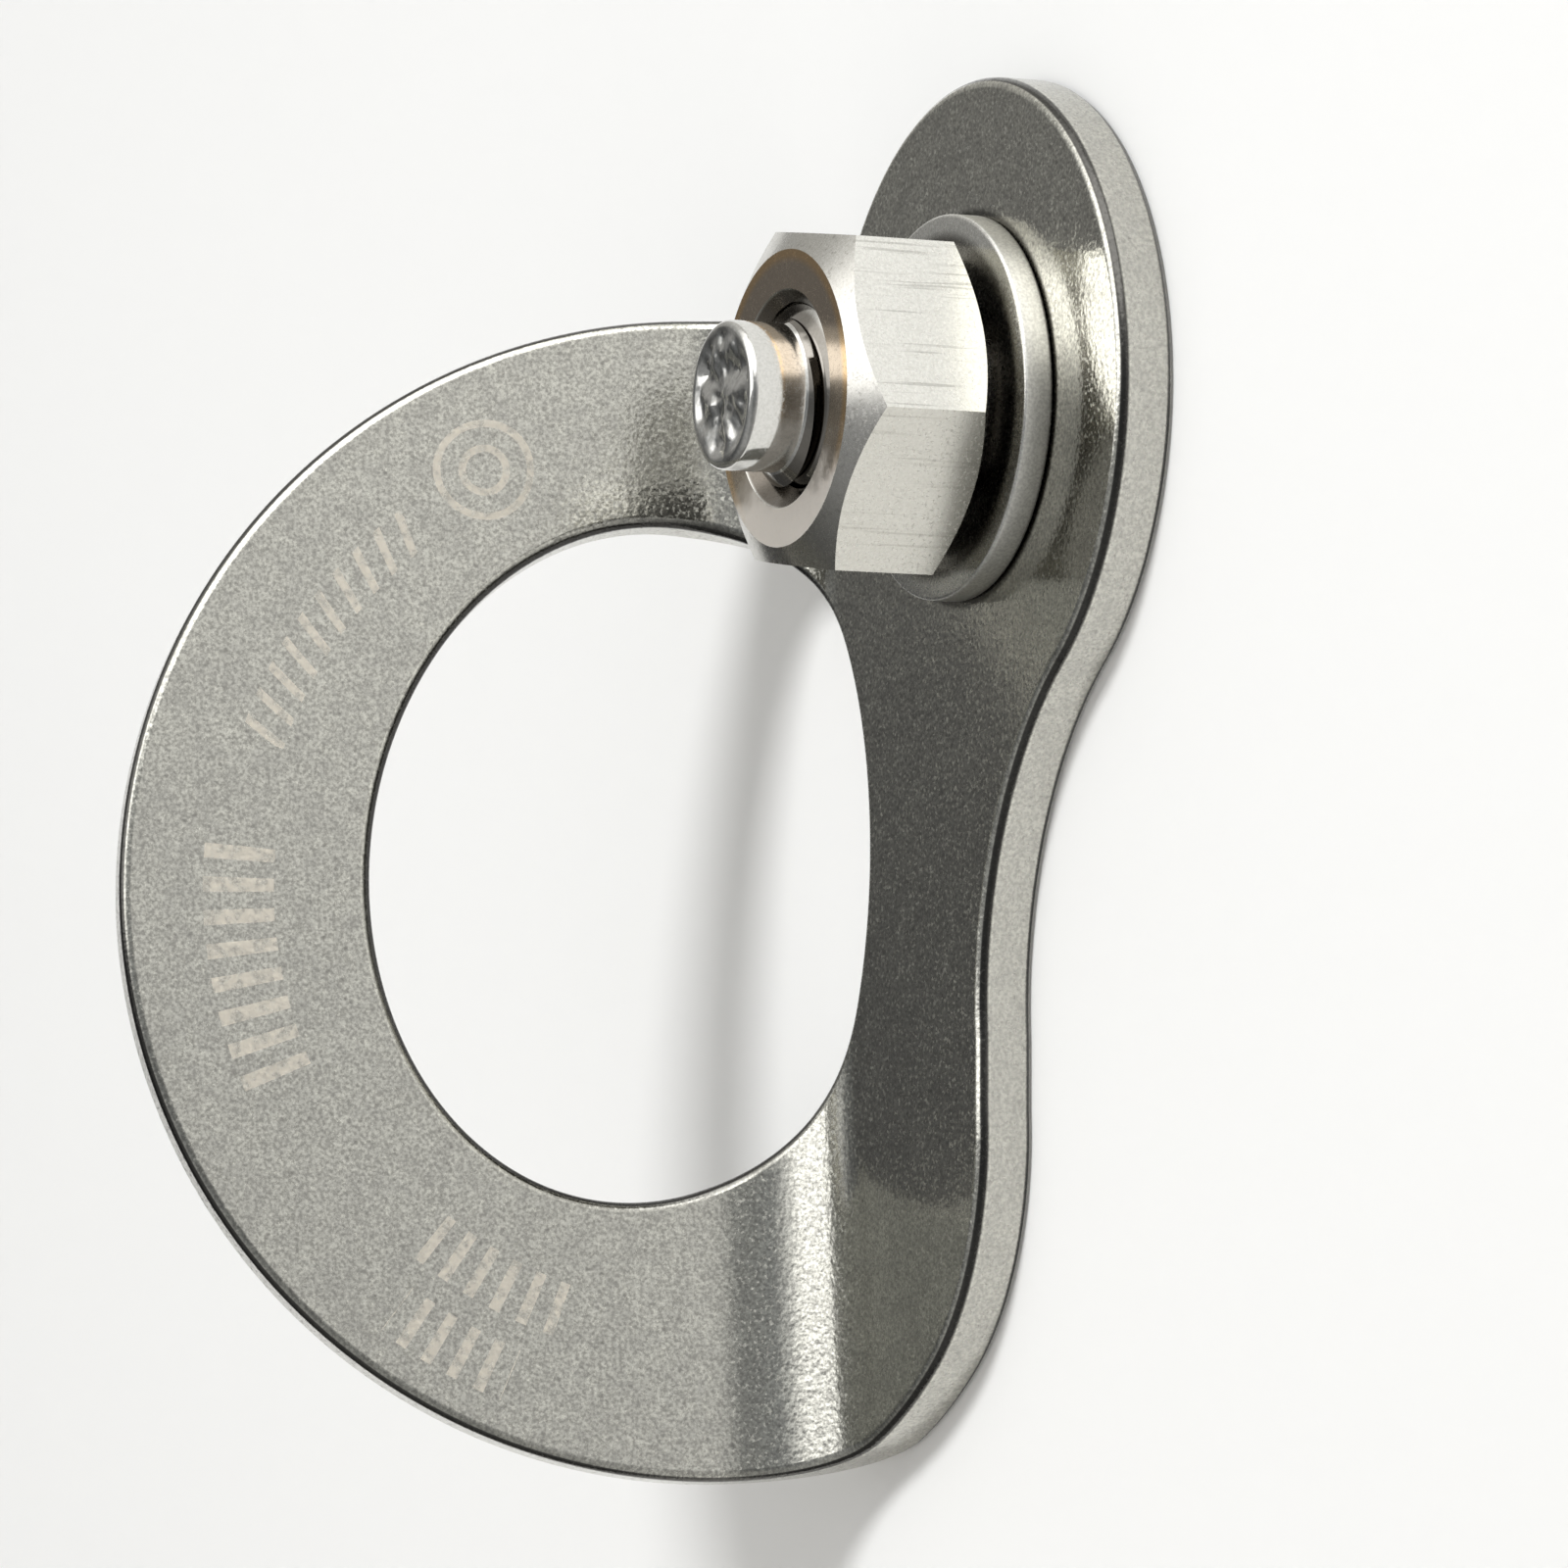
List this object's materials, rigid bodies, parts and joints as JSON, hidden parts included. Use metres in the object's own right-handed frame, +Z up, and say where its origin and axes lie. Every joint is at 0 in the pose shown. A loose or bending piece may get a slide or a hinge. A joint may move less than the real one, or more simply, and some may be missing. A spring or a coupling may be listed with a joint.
{
  "type": "bolt hanger with wedge anchor",
  "caption": "Bent steel plate with a large eye for a carabiner, held on a threaded wedge anchor by a flat washer and a hex nut.",
  "frame": {"origin": "where the bolt axis meets the plate's rear face, which is the wall's surface", "axes": "+Y along the bolt into the wall, +Z up, +X to the right seen from in front of the wall"},
  "size_m": [0.0511, 0.1011, 0.0711],
  "materials": {
    "plate": "tumbled stainless, fine speckle, bright rounded edges",
    "washer": "stamped stainless, bright rim",
    "nut": "bright stainless with fine machining lines",
    "stud": "bright rolled stainless, mottled cold-formed tip",
    "clip": "dull stainless strip"
  },
  "bodies": {
    "stud": {"anchor_stud": "stud"},
    "hanger": {"hanger_plate": "plate"},
    "washer": {"flat_washer": "washer"},
    "nut": {"hex_nut": "nut"},
    "clip": {"clip_band": "clip"},
    "leaf_a": {"clip_leaf_a": "clip"},
    "leaf_b": {"clip_leaf_b": "clip"},
    "leaf_c": {"clip_leaf_c": "clip"}
  },
  "joints": [
    {"name": "hanger_swivel", "type": "hinge", "parent": "stud", "child": "hanger", "pos_m": [0, -0.0015, 0], "axis": [0, 1, 0], "continuous": true},
    {"name": "nut_turn", "type": "hinge", "parent": "stud", "child": "washer", "pos_m": [0, -0.004, 0], "axis": [0, 1, 0], "range_deg": [-1800, 195]},
    {"name": "nut_travel", "type": "slide", "parent": "washer", "child": "nut", "axis": [0, 1, 0], "range_m": [-0.0076, 0.00083]},
    {"name": "clip_slide", "type": "slide", "parent": "stud", "child": "clip", "axis": [0, 1, 0], "range_m": [0, 0.004]},
    {"name": "leaf_a_spread", "type": "hinge", "parent": "clip", "child": "leaf_a", "pos_m": [0, 0.0443, 0.00413], "axis": [1, 0, 0], "range_deg": [0, 6.5]},
    {"name": "leaf_b_spread", "type": "hinge", "parent": "clip", "child": "leaf_b", "pos_m": [-0.00358, 0.0443, -0.00207], "axis": [-0.5, 0, 0.866], "range_deg": [0, 6.5]},
    {"name": "leaf_c_spread", "type": "hinge", "parent": "clip", "child": "leaf_c", "pos_m": [0.00358, 0.0443, -0.00207], "axis": [-0.5, 0, -0.866], "range_deg": [0, 6.5]}
  ],
  "couplings": [
    {"joint": "nut_travel", "follows": "nut_turn", "m_per_rad": 0.00023873},
    {"joint": "leaf_a_spread", "follows": "clip_slide", "rad_per_m": 27},
    {"joint": "leaf_b_spread", "follows": "clip_slide", "rad_per_m": 27},
    {"joint": "leaf_c_spread", "follows": "clip_slide", "rad_per_m": 27}
  ]
}
